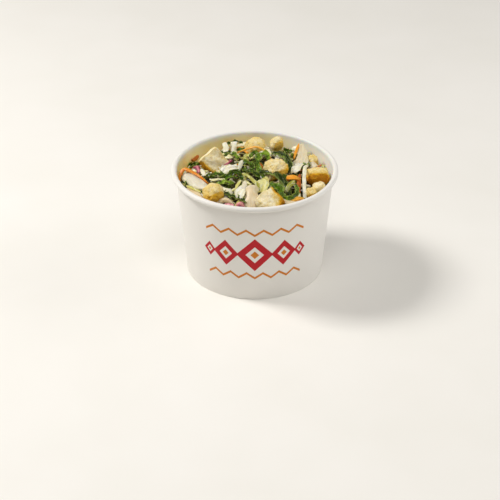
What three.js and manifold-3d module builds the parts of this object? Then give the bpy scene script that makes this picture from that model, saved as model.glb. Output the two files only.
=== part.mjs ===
// Coleslaw in a paper cup: a white eight-ounce food cup, filled a little above its rim
// with chopped slaw and toasted croutons. Millimetres, +Z up, the origin at the centre of
// the base, the front of the cup towards -Y.

import * as THREE from 'three';
import { mergeVertices } from 'three/addons/utils/BufferGeometryUtils.js';
import Module from 'manifold-3d';

// ---- The cup ----
const CUP_HEIGHT = 60.6;
const RIM_RADIUS = 45;
const RIM_ROLL = 1.5; // radius of the rolled rim's section
const SHOULDER_RADIUS = 42.5; // outside of the wall, just under the rim
const SHOULDER_HEIGHT = 57.5;
const BASE_RADIUS = 37.1; // outside of the wall, where the cup stands
const PAPER = 0.45;
const HEM_HEIGHT = 6.6; // the wall's lower edge, folded in and up
const BASE_HEIGHT = 8; // top of the raised base
const GAP = 0.3; // kept between any two pieces
const AROUND = 64; // facets of the cup, a multiple of four

// ---- The heap of slaw ----
const CROWN = 58.6; // height of the bare heap in the middle
const EDGE = 53.2; // height of the bare heap at the wall
const FRONT_RISE = 0.8; // the heap lies higher at the front than at the back
const HOLLOWS = [
  // dips along the wall: bearing in degrees, half-width in degrees, depth
  { bearing: 146, spread: 14, depth: 3.2 },
  { bearing: 67, spread: 13, depth: 2.2 },
  { bearing: 31, spread: 8, depth: 1.8 },
];
const LOOSE = 1; // the packed core lies this far under the surface that loose pieces make
const HEAP_AROUND = 32;
const HEAP_RINGS = 6;
const FILLERS = 22; // small pieces that lie between the large ones
const SEED = 20;
const POCKET_GAP = 0.4; // kept between the heap and each crouton in its pocket
const FILLER_REACH = 39; // how far out the small pieces lie
const GOLDEN_ANGLE = 2.39996; // radians, spreads them evenly
const WELD = 1e-4; // corners nearer than this are one corner
const SMOOTHED_OFF = 0.02; // detail smaller than this is dropped from the heap
const HEADROOM = 10; // how far above the rim the pieces may reach

// ---- Thicknesses of the chopped pieces ----
const CABBAGE = 1.1;
const RIB = 2;
const KALE = 0.9;
const CARROT = 1.6;

const wasm = await Module();
wasm.setup();

function seededRandom(seed) {
  let state = seed;
  return () => {
    state = (state * 1664525 + 1013904223) % 4294967296;
    return state / 4294967296;
  };
}

function onlyPositions(geometry) {
  const bare = geometry.clone();
  bare.deleteAttribute('normal');
  bare.deleteAttribute('uv');
  return mergeVertices(bare, WELD);
}

function toSolid(geometry) {
  const merged = onlyPositions(geometry);
  return new wasm.Manifold(new wasm.Mesh({
    numProp: 3,
    vertProperties: new Float32Array(merged.attributes.position.array),
    triVerts: new Uint32Array(merged.index.array),
  }));
}

function toGeometry(solid) {
  const mesh = solid.getMesh();
  const geometry = new THREE.BufferGeometry();
  geometry.setAttribute('position', new THREE.BufferAttribute(mesh.vertProperties, 3));
  geometry.setIndex(new THREE.BufferAttribute(mesh.triVerts, 1));
  geometry.computeVertexNormals();
  return geometry;
}

function turned(profile, segments) {
  const points = profile.map(([radius, height]) => new THREE.Vector2(radius, height));
  return new THREE.LatheGeometry(points, segments).rotateX(Math.PI / 2);
}

function arc(radius, height, size, fromDegrees, toDegrees, steps) {
  const points = [];
  for (let i = 0; i <= steps; i++) {
    const angle = THREE.MathUtils.degToRad(fromDegrees + (toDegrees - fromDegrees) * i / steps);
    points.push([radius + size * Math.cos(angle), height + size * Math.sin(angle)]);
  }
  return points;
}

// ---- Cup wall: one tapered sheet of paper, its top edge rolled out and its foot folded in ----

function outerRadius(height) {
  return BASE_RADIUS + (SHOULDER_RADIUS - BASE_RADIUS) * height / SHOULDER_HEIGHT;
}

function innerRadius(height) {
  return outerRadius(height) - PAPER;
}

const HEM_RADIUS = innerRadius(0) - 2 * GAP - PAPER; // outside of the folded-in hem

function cupWall() {
  const rollRadius = RIM_RADIUS - RIM_ROLL;
  const rollHeight = CUP_HEIGHT - RIM_ROLL;
  const profile = [
    [BASE_RADIUS, 0],
    [outerRadius(SHOULDER_HEIGHT - 1), SHOULDER_HEIGHT - 1],
    ...arc(rollRadius, rollHeight, RIM_ROLL - PAPER, 190, -90, 6),
    ...arc(rollRadius, rollHeight, RIM_ROLL, -90, 180, 9),
    [innerRadius(SHOULDER_HEIGHT - 1), SHOULDER_HEIGHT - 1],
    [innerRadius(PAPER), PAPER],
    [HEM_RADIUS, PAPER],
    [HEM_RADIUS, HEM_HEIGHT],
    [HEM_RADIUS - PAPER, HEM_HEIGHT],
    [HEM_RADIUS - PAPER, 0],
    [BASE_RADIUS, 0],
  ];
  return turned(profile, AROUND);
}

// ---- Cup base: a raised disc whose flange hangs between the wall and its hem ----

function cupBase() {
  const flangeRadius = HEM_RADIUS + GAP + PAPER;
  const profile = [
    [0, BASE_HEIGHT - PAPER],
    [flangeRadius - PAPER, BASE_HEIGHT - PAPER],
    [flangeRadius - PAPER, PAPER + GAP],
    [flangeRadius, PAPER + GAP],
    [flangeRadius, BASE_HEIGHT],
    [0, BASE_HEIGHT],
  ];
  return turned(profile, AROUND);
}

// ---- Surface of the bare heap ----

function heapHeight(x, y) {
  const reach = Math.min(Math.hypot(x, y) / (innerRadius(EDGE) - GAP), 1);
  const bearing = THREE.MathUtils.radToDeg(Math.atan2(y, x));
  let edge = EDGE - FRONT_RISE * Math.sin(THREE.MathUtils.degToRad(bearing));
  for (const hollow of HOLLOWS) {
    edge -= hollow.depth * Math.exp(-(((bearing - hollow.bearing) / hollow.spread) ** 2));
  }
  const lumps = 0.8 * Math.sin(x / 4.1 + 0.6) * Math.cos(y / 3.7 - 0.4)
    + 0.5 * Math.sin((x + y) / 2.9 + 1.1) * Math.cos((x - y) / 3.3);
  return edge + (CROWN - edge) * (1 - reach ** 3) + lumps * (1 - reach ** 6);
}

function bareHeap() {
  const bottom = BASE_HEIGHT + GAP;
  const edgeRadius = innerRadius(EDGE) - GAP;
  const profile = [[0, bottom], [innerRadius(bottom) - GAP, bottom]];
  for (let ring = 0; ring <= HEAP_RINGS; ring++) {
    profile.push([edgeRadius * (1 - ring / HEAP_RINGS), CROWN]);
  }
  const geometry = turned(profile, HEAP_AROUND);
  const positions = geometry.attributes.position;
  for (let i = 0; i < positions.count; i++) {
    const x = positions.getX(i);
    const y = positions.getY(i);
    if (positions.getZ(i) > bottom + 1) {
      const height = heapHeight(x, y) - LOOSE;
      const atWall = Math.hypot(x, y) > edgeRadius - 0.01;
      const scale = atWall ? (innerRadius(height) - GAP) / edgeRadius : 1;
      positions.setXYZ(i, x * scale, y * scale, height);
    }
  }
  return geometry;
}

// ---- Chopped pieces: thin sheets that follow a path over the heap ----

// A closed sheet; place(s, q, side) gives the point at s along it (0 to 1),
// q across it (-1 to 1), on its upper side (1) or its lower one (-1).
function sheetSolid(steps, across, place) {
  const positions = [];
  for (const side of [1, -1]) {
    for (let i = 0; i <= steps; i++) {
      for (let j = 0; j <= across; j++) {
        positions.push(...place(i / steps, 2 * j / across - 1, side).toArray());
      }
    }
  }
  const index = [];
  const lower = (steps + 1) * (across + 1);
  const at = (i, j) => i * (across + 1) + j;
  const quad = (a, b, c, d) => index.push(a, b, c, a, c, d);
  for (let i = 0; i < steps; i++) {
    for (let j = 0; j < across; j++) {
      const corners = [at(i, j), at(i + 1, j), at(i + 1, j + 1), at(i, j + 1)];
      const [a, b, c, d] = corners.map((corner) => corner + lower);
      quad(...corners);
      index.push(a, c, b, a, d, c);
    }
    quad(at(i, 0), at(i, 0) + lower, at(i + 1, 0) + lower, at(i + 1, 0));
    quad(at(i, across), at(i + 1, across), at(i + 1, across) + lower, at(i, across) + lower);
  }
  for (let j = 0; j < across; j++) {
    quad(at(0, j), at(0, j + 1), at(0, j + 1) + lower, at(0, j) + lower);
    quad(at(steps, j), at(steps, j) + lower, at(steps, j + 1) + lower, at(steps, j + 1));
  }
  const geometry = new THREE.BufferGeometry();
  geometry.setAttribute('position', new THREE.Float32BufferAttribute(positions, 3));
  geometry.setIndex(index);
  return geometry;
}

// The route of a piece: each of its points is [x, y, lift above the bare heap].
function routeOverHeap(points) {
  return new THREE.CatmullRomCurve3(
    points.map(([x, y, lift]) => new THREE.Vector3(x, y, heapHeight(x, y) + lift)),
  );
}

function choppedPiece({ path, width, thickness, cup = 0, curl = 0, ruffle = 0, waves = 2,
  point = 0.3, steps = 4, across = curl ? 2 : 1, face = [0, -0.3, 1] }) {
  const route = routeOverHeap(path);
  const facing = new THREE.Vector3(...face);
  const place = (s, q, side) => {
    const along = route.getTangentAt(s);
    const up = facing.clone().addScaledVector(along, -facing.dot(along)).normalize();
    const aside = new THREE.Vector3().crossVectors(up, along);
    const half = width / 2 * (1 - point * Math.abs(2 * s - 1) ** 3);
    const roll = THREE.MathUtils.degToRad(curl);
    const out = curl ? half * Math.sin(roll * q) / roll : half * q;
    const rise = curl ? half * (1 - Math.cos(roll * q)) / roll : cup * q * q;
    const wave = ruffle * Math.abs(q) * Math.sin(2 * Math.PI * waves * s + 1.5 * q);
    return route.getPointAt(s)
      .addScaledVector(aside, out)
      .addScaledVector(up, rise + wave + side * thickness / 2);
  };
  return sheetSolid(steps, across, place);
}

const carrotShreds = [
  {
    path: [
      [-40.2, -1.5, -1], [-40, 1.5, 2.6], [-38, 1.5, 4.4], [-34.9, -1, 4.2],
      [-30, -8.5, 3.4], [-24.9, -13.5, 1.6],
    ],
    width: 2.1, steps: 6,
  },
  {
    path: [
      [-9, 21.5, -0.4], [-3.6, 21.7, 2.3], [0.7, 20.8, 3.4], [4.6, 19, 3.5],
      [7.3, 15.5, 2.8], [9, 11, 1],
    ],
    width: 1.4, steps: 6,
  },
  { path: [[24.6, 29.5, 5.6], [22.7, 22.5, 2.6], [21.5, 17.5, -0.6]], width: 1.7 },
  { path: [[17.6, -9.4, 0.4], [21.2, -10.4, 2], [24.4, -10, 1.6]], width: 3.4 },
  { path: [[24.2, -5.5, 1.8], [23.5, -12, 1.6], [23.5, -20.5, -0.6]], width: 2.5 },
  { path: [[18.8, -28.8, -0.4], [22.8, -26.4, 1.4], [26.5, -24, 0]], width: 2.5 },
  { path: [[1.8, 7.4, -0.6], [4.2, 0.5, 0]], width: 2.2, steps: 2 },
  { path: [[-35, 19, -0.8], [-33.4, 21.6, 2.2], [-29.8, 25.5, 2.6]], width: 2.3, steps: 3 },
];

const kaleLeaves = [
  {
    path: [
      [-2.2, 14, 0], [-1, 15.5, 2.6], [1.4, 14.5, 3.2], [2, 8, 2.8], [1.6, 2, 2.4],
      [2.6, -4, 1.8], [5, -8, -0.4],
    ],
    width: 4.8, curl: 70, steps: 8, across: 2,
  },
  { path: [[1.4, 12, 2.4], [4.2, 14.5, 3.8], [7, 14.8, 3.2], [7.4, 10.5, 0.4]], width: 4, curl: 60 },
  {
    path: [
      [2.5, -5.5, 0.4], [7.4, -6.2, 3.2], [12, -10.8, 3.4], [15.5, -14.8, 2.8],
      [17.8, -20, 1.2], [18, -23, -0.6],
    ],
    width: 5.5, curl: 25, ruffle: 0.4, steps: 7, across: 2,
  },
  {
    path: [
      [10.5, 24, 0.4], [14, 18.5, 3], [17.6, 12, 2.6], [19.8, 5, -0.4],
    ],
    width: 5.6, curl: 50, ruffle: 0.5, waves: 3, steps: 6, across: 2,
  },
  { path: [[-27, -3, -0.4], [-22.4, -4, 1], [-18, -6, 1], [-13, -6.6, 0]], width: 3.6, curl: 45 },
  {
    path: [
      [-14.5, -10.5, -0.4], [-11.5, -9.5, 2.4], [-8.4, -9.6, 3], [-6, -12.5, 1],
    ],
    width: 5, curl: 80, steps: 6, across: 2,
  },
  { path: [[-18.5, -12.5, -0.8], [-15, -14, 1.6], [-10.5, -15, -0.6]], width: 3.4, curl: 50 },
  { path: [[-9.5, 5, 0], [-6, 4.6, 2.4], [-2.5, 3.2, 2.6], [-1, -1, 0.4]], width: 5, curl: 60 },
  {
    path: [
      [6.5, -17, 0.2], [10, -19.5, 2.6], [13.2, -22.5, 2.4], [15, -27, 0.2],
    ],
    width: 6.5, curl: 40, ruffle: 0.8, waves: 2.5, steps: 6, across: 2,
  },
  {
    path: [
      [17, -16.5, 0.2], [18.2, -20, 3], [19.6, -23.5, 2.8], [17.2, -28.2, -0.2],
    ],
    width: 4.2, curl: 70,
  },
  { path: [[14.5, -27.5, 0], [18.5, -26.6, 1.2], [22.6, -22, 0]], width: 4, curl: 45 },
  {
    path: [
      [-16, -21.5, 0], [-12.2, -27, 1.4], [-8, -30, 1.3], [-3, -30.8, -0.6],
    ],
    width: 3.6, curl: 30, ruffle: 0.5, steps: 6, across: 2,
  },
  { path: [[-13.8, 23, -1], [-11.8, 16.5, 1.8], [-9, 12, -0.8]], width: 4.6, curl: 45 },
  { path: [[8, -1, 0], [13, -7, 1], [20, -9, -0.4]], width: 5, curl: 45 },
];

const cabbageRibs = [
  {
    path: [
      [-4.6, -19.6, 1.2], [-4.1, -23, 3.9], [-3.6, -27.5, 3.5], [-3, -32, -0.2],
    ],
    width: 14.4, curl: -60, thickness: 1.6, steps: 6, across: 4,
  },
  {
    path: [
      [-11.8, -26.4, 0.6], [-8.6, -26.4, 1.9], [-5.6, -28, 1.8],
    ],
    width: 6, curl: 35, thickness: 1.2, point: 0.55,
  },
  {
    path: [
      [-6.8, -25.5, 1.4], [-5.8, -21.8, 3.2], [-4.9, -18.6, 4],
    ],
    width: 2.8, thickness: 1.2, point: 0.6,
  },
  {
    path: [
      [-38, 2.5, 0.4], [-32.5, -8.5, 2.4], [-26, -18, 0.4],
    ],
    width: 8.2, curl: -40, point: 0.15, steps: 5, across: 2,
  },
  { path: [[-36, -13.5, -0.2], [-31.2, -20.5, 0.8], [-27, -27, -0.2]], width: 4.4 },
  {
    path: [
      [-19.5, -29.6, -0.4], [-15.6, -29.8, 1.8], [-11.6, -31.8, -0.4],
    ],
    width: 4.6, cup: -0.8, across: 2,
  },
  { path: [[13, -28.5, 0], [17.9, -31.4, 0.9], [23.4, -27.8, 0]], width: 3 },
  { path: [[26.5, 22, 0.5], [30.5, 14, 1.8], [33, 8, 0.2]], width: 6.5, cup: -1, across: 2 },
];

const cabbageLeaves = [
  {
    path: [
      [26.2, 28.5, 5.6], [25.4, 21, 3.4], [23.8, 10, 1.6], [22, 2, 0.4],
    ],
    width: 8.4, point: 0.7, face: [-0.3, -0.8, 0.7], steps: 5,
  },
  {
    path: [
      [25, 10, 0.4], [22.4, 4, 2.6], [19.4, -4, 0.8],
    ],
    width: 7, face: [-0.2, -0.5, 0.8],
  },
  {
    path: [
      [-16.4, -1.4, 0], [-12.6, 0.6, 2.3], [-8.4, 0.8, 1.2],
    ],
    width: 8, ruffle: 0.9, steps: 5, across: 2,
  },
  {
    path: [
      [-9.2, -2.6, 0], [-7.7, 1.4, 2.9], [-6.5, 5.3, 4],
    ],
    width: 3.6, point: 0.85, face: [0.3, -0.8, 0.5],
  },
  { path: [[-18.4, -5, -0.4], [-16.2, 2, 1.8]], width: 2, steps: 2 },
  { path: [[-16.6, 33.2, 4], [-15.9, 27.5, -0.6]], width: 4.4, point: 0.2, face: [0, -0.9, 0.6], steps: 3 },
  { path: [[-11, 31.4, 3.8], [-11.8, 26.5, -0.6]], width: 6, point: 0.1, face: [0.1, -0.9, 0.6], steps: 3 },
  { path: [[-39, -7, 0], [-34, -14.8, 1.4], [-28.5, -19.5, 0.2]], width: 1.9 },
  { path: [[-24, -7, -0.2], [-19.1, -10.4, 1.3], [-14, -9, 0]], width: 2.8 },
  { path: [[-28.8, 1.2, 1.8], [-26.8, -3.4, -0.4]], width: 2.6, steps: 2 },
  { path: [[-18, -18.5, 0], [-14.7, -21, 1.2], [-11.5, -22, -0.2]], width: 4.2, across: 2 },
  { path: [[-6, -7.8, 0.2], [-2.5, -12, 1.5], [0.6, -18, 1.5], [3.2, -23, -0.4]], width: 2.2, steps: 5 },
  {
    path: [
      [1, -12, 0.8], [4, -16.5, 2.2], [4.2, -24, 0.2],
    ],
    width: 8.6, curl: 40, across: 2,
  },
  { path: [[6, 31.5, -0.6], [7.4, 21.5, 1.6], [8.6, 15, -0.8]], width: 3 },
  { path: [[-4.4, 20.5, -0.2], [-1, 13, 1]], width: 5.5, ruffle: 0.6, steps: 3, across: 2 },
  { path: [[-5.5, 16.5, 0], [-4.6, 8.5, 1.2]], width: 3.4, steps: 2 },
  {
    path: [
      [27, -2, 5.4], [26.3, -12.5, 3.9], [26.4, -24.5, -0.2],
    ],
    width: 2.3, point: 0.1, face: [0.2, -0.8, 0.6], steps: 5,
  },
  { path: [[-33.2, 9, 0.6], [-31.2, 6, 2], [-29.9, 1, 0]], width: 3.4, cup: -0.6, across: 2 },
  { path: [[-15, 16, -0.2], [-12.6, 9.6, 1.5], [-16, 6.5, -0.2]], width: 3.4 },
  { path: [[-16, -31.5, 0], [-11, -34.2, 0.8]], width: 3.6, steps: 2 },
  { path: [[-10, -33.6, 0], [-7.8, -34.3, 1.9], [-5.4, -35, -0.2]], width: 4.4, cup: -0.8, across: 2 },
];

const LARGE_PIECES = [
  ...cabbageRibs.map((piece) => ({ thickness: RIB, ...piece })),
  ...cabbageLeaves.map((piece) => ({ thickness: CABBAGE, ...piece })),
  ...kaleLeaves.map((piece) => ({ thickness: KALE, ...piece })),
  ...carrotShreds.map((piece) => ({ thickness: CARROT, point: 0.5, ...piece })),
];

// ---- Croutons: rough cubes of toasted bread ----

const croutonCuts = [
  { at: [-22.4, 10.8, 58.2], size: [12.4, 11.6, 10.4], turn: [48, 4, 42], round: 0.26 },
  { at: [-21.9, -24.6, 58.3], size: [9.8, 9.4, 9], turn: [30, -8, 38], round: 0.6 },
  { at: [0.4, 27.6, 58.2], size: [9.6, 9.2, 8.6], turn: [36, 5, 47], round: 0.55 },
  { at: [11.2, -2.6, 60.4], size: [10.8, 9.8, 9], turn: [16, 14, 24], round: 0.45 },
  { at: [7.6, -32.2, 57.2], size: [12.4, 11.6, 10.4], turn: [38, 6, 42], round: 0.36 },
  { at: [33.6, -4.4, 57.4], size: [12, 9.2, 8.6], turn: [-10, 2, 4], round: 0.75 },
  { at: [29.8, -20.8, 56.8], size: [5.2, 5, 4.4], turn: [20, 10, 30], round: 0.5 },
  { at: [34.2, -14.4, 56.4], size: [6.8, 5.6, 4.6], turn: [14, -8, 12], round: 0.6 },
  { at: [12.5, 34.6, 56.6], size: [5.8, 5.8, 7], turn: [10, 8, 32], round: 0.6 },
  { at: [31.2, 16.6, 55.6], size: [6.5, 6, 5.2], turn: [15, 5, 35], round: 0.6 },
];

function crouton({ at, size, turn, round }, number, swell = 0) {
  const geometry = onlyPositions(new THREE.BoxGeometry(2, 2, 2, 3, 3, 3));
  const positions = geometry.attributes.position;
  const corner = new THREE.Vector3();
  for (let i = 0; i < positions.count; i++) {
    corner.fromBufferAttribute(positions, i);
    const rough = 0.035 * Math.sin(5.1 * corner.x + 3.7 * corner.y + number)
      + 0.035 * Math.sin(4.3 * corner.z - 3.1 * corner.x + 2 * number);
    const ball = corner.clone().normalize().multiplyScalar(1.25);
    corner.lerp(ball, round).multiplyScalar(1 + rough);
    positions.setXYZ(i, corner.x, corner.y, corner.z);
  }
  geometry.scale(size[0] / 2 + swell, size[1] / 2 + swell, size[2] / 2 + swell);
  const angles = turn.map((degrees) => THREE.MathUtils.degToRad(degrees));
  geometry.applyMatrix4(new THREE.Matrix4().makeRotationFromEuler(new THREE.Euler(...angles)));
  geometry.translate(...at);
  return geometry;
}

// ---- Small pieces between the large ones, scattered evenly by a seeded spiral ----

function fillerPieces() {
  const random = seededRandom(SEED);
  const pieces = [];
  for (let i = 0; i < FILLERS; i++) {
    const distance = FILLER_REACH * Math.sqrt((i + 0.5) / FILLERS);
    const bearing = i * GOLDEN_ANGLE + 0.6 * random();
    const x = distance * Math.cos(bearing);
    const y = distance * Math.sin(bearing);
    if (croutonCuts.some(({ at, size }) => Math.hypot(x - at[0], y - at[1]) < size[0] / 2)) {
      continue;
    }
    const heading = Math.PI * random();
    const reach = 3 + 2.5 * random();
    const dx = reach * Math.cos(heading);
    const dy = reach * Math.sin(heading);
    pieces.push({
      path: [[x - dx, y - dy, -0.5], [x, y, 1.2 + 0.6 * random()], [x + dx, y + dy, -0.5]],
      width: 2 + 2.2 * random(),
      thickness: CABBAGE,
      steps: 2,
    });
  }
  return pieces;
}

// ---- Slaw: the heap with its pieces joined on, kept clear of the cup and the croutons ----

function insideOfCup() {
  const bottom = BASE_HEIGHT + GAP;
  const bend = SHOULDER_HEIGHT - 1;
  const top = CUP_HEIGHT + HEADROOM;
  const clear = innerRadius(bend) - GAP;
  const profile = [
    [0, bottom], [innerRadius(bottom) - GAP, bottom], [clear, bend], [clear, top], [0, top],
  ];
  return turned(profile, AROUND);
}

function slaw() {
  const shapes = [...fillerPieces(), ...LARGE_PIECES].map(choppedPiece);
  let heap = toSolid(bareHeap());
  for (const shape of shapes) {
    heap = heap.add(toSolid(shape));
  }
  heap = heap.intersect(toSolid(insideOfCup()));
  croutonCuts.forEach((cut, i) => {
    heap = heap.subtract(toSolid(crouton(cut, i + 1, POCKET_GAP)));
  });
  const pieces = heap.simplify(SMOOTHED_OFF).decompose();
  return pieces.reduce((best, piece) => (piece.volume() > best.volume() ? piece : best));
}

// ---- Materials and the finished group ----

function material(color, roughness) {
  return new THREE.MeshStandardMaterial({ color, roughness, metalness: 0 });
}

function named(name, geometry, surface) {
  const mesh = new THREE.Mesh(geometry, surface);
  mesh.name = name;
  return mesh;
}

const group = new THREE.Group();
group.add(named('cup_wall', cupWall(), material(0xf1efe9, 0.45)));
group.add(named('cup_base', cupBase(), material(0xece8de, 0.5)));
group.add(named('slaw', toGeometry(slaw()), material(0xd9d6a4, 0.4)));
croutonCuts.forEach((cut, i) => {
  group.add(named(`crouton_${i + 1}`, crouton(cut, i + 1), material(0xe8cf86, 0.85)));
});

export default group;
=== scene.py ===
"""Coleslaw in a white paper cup: chopped cabbage, kale and carrot under toasted croutons.

Lengths in the tables of food pieces are in millimetres; Blender's own units are metres.
"""

import math
import random
from functools import partial

import bmesh
import bpy
import numpy as np
from bpy.props import FloatProperty, FloatVectorProperty, IntProperty, PointerProperty
from mathutils import Euler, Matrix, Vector, noise


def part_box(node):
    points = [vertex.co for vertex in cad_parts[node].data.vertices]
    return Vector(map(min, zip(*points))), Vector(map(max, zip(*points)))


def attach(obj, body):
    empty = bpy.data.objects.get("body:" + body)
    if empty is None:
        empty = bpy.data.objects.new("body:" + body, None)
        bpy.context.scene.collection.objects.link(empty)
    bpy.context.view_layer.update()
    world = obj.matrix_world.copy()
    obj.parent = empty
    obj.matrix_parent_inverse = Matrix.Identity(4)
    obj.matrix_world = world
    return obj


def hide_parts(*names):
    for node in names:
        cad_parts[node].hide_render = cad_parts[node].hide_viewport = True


bl_info = {
    "name": "Coleslaw Cup",
    "version": (1, 0, 0),
    "blender": (4, 5, 0),
    "location": "View3D > Sidebar > Coleslaw",
    "description": "Builds a paper cup of coleslaw with croutons around its packed solids",
    "category": "Object",
}

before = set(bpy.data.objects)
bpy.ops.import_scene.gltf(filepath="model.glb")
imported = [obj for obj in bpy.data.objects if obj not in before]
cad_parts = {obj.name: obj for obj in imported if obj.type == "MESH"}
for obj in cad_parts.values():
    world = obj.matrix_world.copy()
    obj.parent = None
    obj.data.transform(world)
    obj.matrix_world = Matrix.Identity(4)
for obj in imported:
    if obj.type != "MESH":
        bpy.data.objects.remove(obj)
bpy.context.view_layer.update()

MM = 0.001
BODY = "root"
CROUTON_NODES = sorted((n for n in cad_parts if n.startswith("crouton_")),
                       key=lambda n: int(n.split("_")[1]))
WALL_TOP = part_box("cup_wall")[1]
BASE_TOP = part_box("cup_base")[1]


def linear(hex_colour):
    """A linear RGBA colour from an sRGB hex value."""
    channels = [int(hex_colour[i:i + 2], 16) / 255 for i in (1, 3, 5)]
    return tuple(c / 12.92 if c <= 0.04045 else ((c + 0.055) / 1.055) ** 2.4 for c in channels) + (1,)


# ---- Settings ----

def length_property(name, description, default):
    return FloatProperty(name=name, description=description, default=default,
                         unit="LENGTH", subtype="DISTANCE", min=0)


def colour_property(name, description, hex_colour):
    return FloatVectorProperty(name=name, description=description, size=4,
                               subtype="COLOR", default=linear(hex_colour), min=0, max=1)


class CupSettings(bpy.types.PropertyGroup):
    """Sizes and colours of the paper cup."""

    rim_radius: length_property("Rim radius", "Outside of the rolled rim", WALL_TOP.x)
    height: length_property("Height", "From the foot to the top of the rim", WALL_TOP.z)
    shoulder_radius: length_property("Shoulder radius", "Outside of the wall under the rim", 0.0425)
    shoulder_height: length_property("Shoulder height", "Where the wall meets the rim", 0.0575)
    foot_radius: length_property("Foot radius", "Outside of the wall where it stands", 0.0371)
    paper: length_property("Paper", "Thickness of the board", 0.00045)
    roll: length_property("Roll", "Radius of the rim's section", 0.0015)
    hem_height: length_property("Hem height", "How far the foot is folded in and up", 0.0066)
    base_height: length_property("Base height", "Top of the raised base", BASE_TOP.z)
    base_radius: length_property("Base radius", "Outside of the base's flange", BASE_TOP.x)
    paper_colour: colour_property("Paper colour", "White coated board", "#ECE9E3")
    inner_colour: colour_property("Inner colour", "Inside of the wall", "#F6F0E6")
    # A tan painted on the inner wall as warm bounce light and shade.
    painted_bounce_shade: colour_property("Dressing", "Board that dressing has soaked into", "#EBD199")
    red_ink: colour_property("Red ink", "The print's dark red", "#BE0018")
    orange_ink: colour_property("Orange ink", "The print's orange", "#D07A12")


class SlawSettings(bpy.types.PropertyGroup):
    """Shape and colours of the heap of chopped slaw."""

    crown: length_property("Crown", "Height of the heap in the middle", 0.0586)
    edge: length_property("Edge", "Height of the heap at the wall", 0.0532)
    front_rise: length_property("Front rise", "How much higher the front lies than the back", 0.0008)
    bed_depth: length_property("Bed depth", "Loose pieces lie this deep over the bed", 0.003)
    fill_count: IntProperty(name="Fill", description="Loose pieces tried between the large ones",
                            default=1900, min=0)
    seed: IntProperty(name="Seed", description="Seed of the loose pieces", default=7)
    white: colour_property("White leaf", "Inner white cabbage", "#F2EBD4")
    pale_green: colour_property("Pale green leaf", "Outer white cabbage", "#C6C06A")
    rib: colour_property("Rib", "Thick white rib", "#D6D0BF")
    dark_green: colour_property("Dark green", "Upper side of the kale", "#1B2B02")
    fresh_green: colour_property("Fresh green", "Young kale", "#93AE38")
    orange: colour_property("Carrot", "Shredded carrot", "#EB9C2C")
    deep_orange: colour_property("Deep carrot", "Core of the carrot", "#A84E18")
    purple: colour_property("Purple", "Skin of the red cabbage", "#86304A")
    pink: colour_property("Pink", "Flesh of the red cabbage", "#DD9A96")


class CroutonSettings(bpy.types.PropertyGroup):
    """Colours of the toasted bread."""

    crumb: colour_property("Crumb", "Pale inside of the bread", "#F5ECD0")
    toast: colour_property("Toast", "Golden toasted sides", "#DEAB18")
    crust: colour_property("Crust", "Browned edges", "#A45E08")


class StudioSettings(bpy.types.PropertyGroup):
    """The camera."""

    lens: FloatProperty(name="Lens", description="Focal length in millimetres on a 36 mm sensor",
                        default=136.73, min=1)
    camera_x: FloatProperty(name="Camera X", description="Sideways place of the camera",
                            default=-0.00254, unit="LENGTH")
    camera_y: FloatProperty(name="Camera Y", description="Distance in front of the cup",
                            default=-0.8974, unit="LENGTH")
    camera_z: FloatProperty(name="Camera Z", description="Height above the floor",
                            default=0.5509, unit="LENGTH")
    pitch: FloatProperty(name="Pitch", description="How far the camera looks down",
                         default=math.radians(31.141), subtype="ANGLE")


# ---- Mesh and material helpers ----

def mm(value):
    """A length in millimetres, from metres."""
    return value / MM


SHARP_EDGE = math.radians(44)  # a piece's edges are shaded smooth up to this angle


def finish_piece(bm, name, material, replaced):
    """Turns a bmesh in millimetres into a finished piece that rides with the cup."""
    bmesh.ops.recalc_face_normals(bm, faces=bm.faces)
    bmesh.ops.scale(bm, verts=bm.verts, vec=(MM, MM, MM))
    mesh = bpy.data.meshes.new(name)
    bm.to_mesh(mesh)
    bm.free()
    mesh.shade_smooth()
    mesh.set_sharp_from_angle(angle=SHARP_EDGE)
    piece = bpy.data.objects.new(name, mesh)
    bpy.context.scene.collection.objects.link(piece)
    mesh.materials.append(material)
    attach(piece, BODY)
    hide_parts(*replaced)


def spun(profile, steps):
    """A closed profile of (radius, height) points in millimetres, spun once round the cup's axis."""
    bm = bmesh.new()
    verts = [bm.verts.new((radius, 0, height)) for radius, height in profile]
    edges = [bm.edges.new(pair) for pair in zip(verts, verts[1:])]
    if profile[0][0] > 0:
        edges.append(bm.edges.new((verts[-1], verts[0])))
    bmesh.ops.spin(bm, geom=verts + edges, cent=(0, 0, 0), axis=(0, 0, 1), dvec=(0, 0, 0),
                   angle=2 * math.pi, steps=steps, use_merge=True, use_duplicate=False)
    bmesh.ops.remove_doubles(bm, verts=bm.verts, dist=1e-4)
    return bm


def arc(radius, height, size, start, end, steps):
    """Points of a round stretch of a profile; start and end in degrees."""
    angles = [math.radians(start + (end - start) * i / steps) for i in range(steps + 1)]
    return [(radius + size * math.cos(a), height + size * math.sin(a)) for a in angles]


def connect(tree, node, inputs):
    """Links or sets inputs of a node, given by name or in order; a colour may be a hex value."""
    for socket, value in inputs.items() if isinstance(inputs, dict) else enumerate(inputs):
        if isinstance(value, bpy.types.NodeSocket):
            tree.links.new(value, node.inputs[socket])
        else:
            node.inputs[socket].default_value = linear(value) if isinstance(value, str) else value


def add_node(tree, kind, inputs=(), output=0, stops=(), **settings):
    """Adds a node with its settings, links and colour stops, and returns one of its outputs."""
    node = tree.nodes.new("ShaderNode" + kind)
    for name, value in settings.items():
        setattr(node, name, value)
    for number, (position, colour) in enumerate(stops):
        elements = node.color_ramp.elements
        stop = elements[number] if number < len(elements) else elements.new(position)
        stop.position = position
        stop.color = linear(colour) if isinstance(colour, str) else colour
    connect(tree, node, inputs)
    return node.outputs[output]


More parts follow.
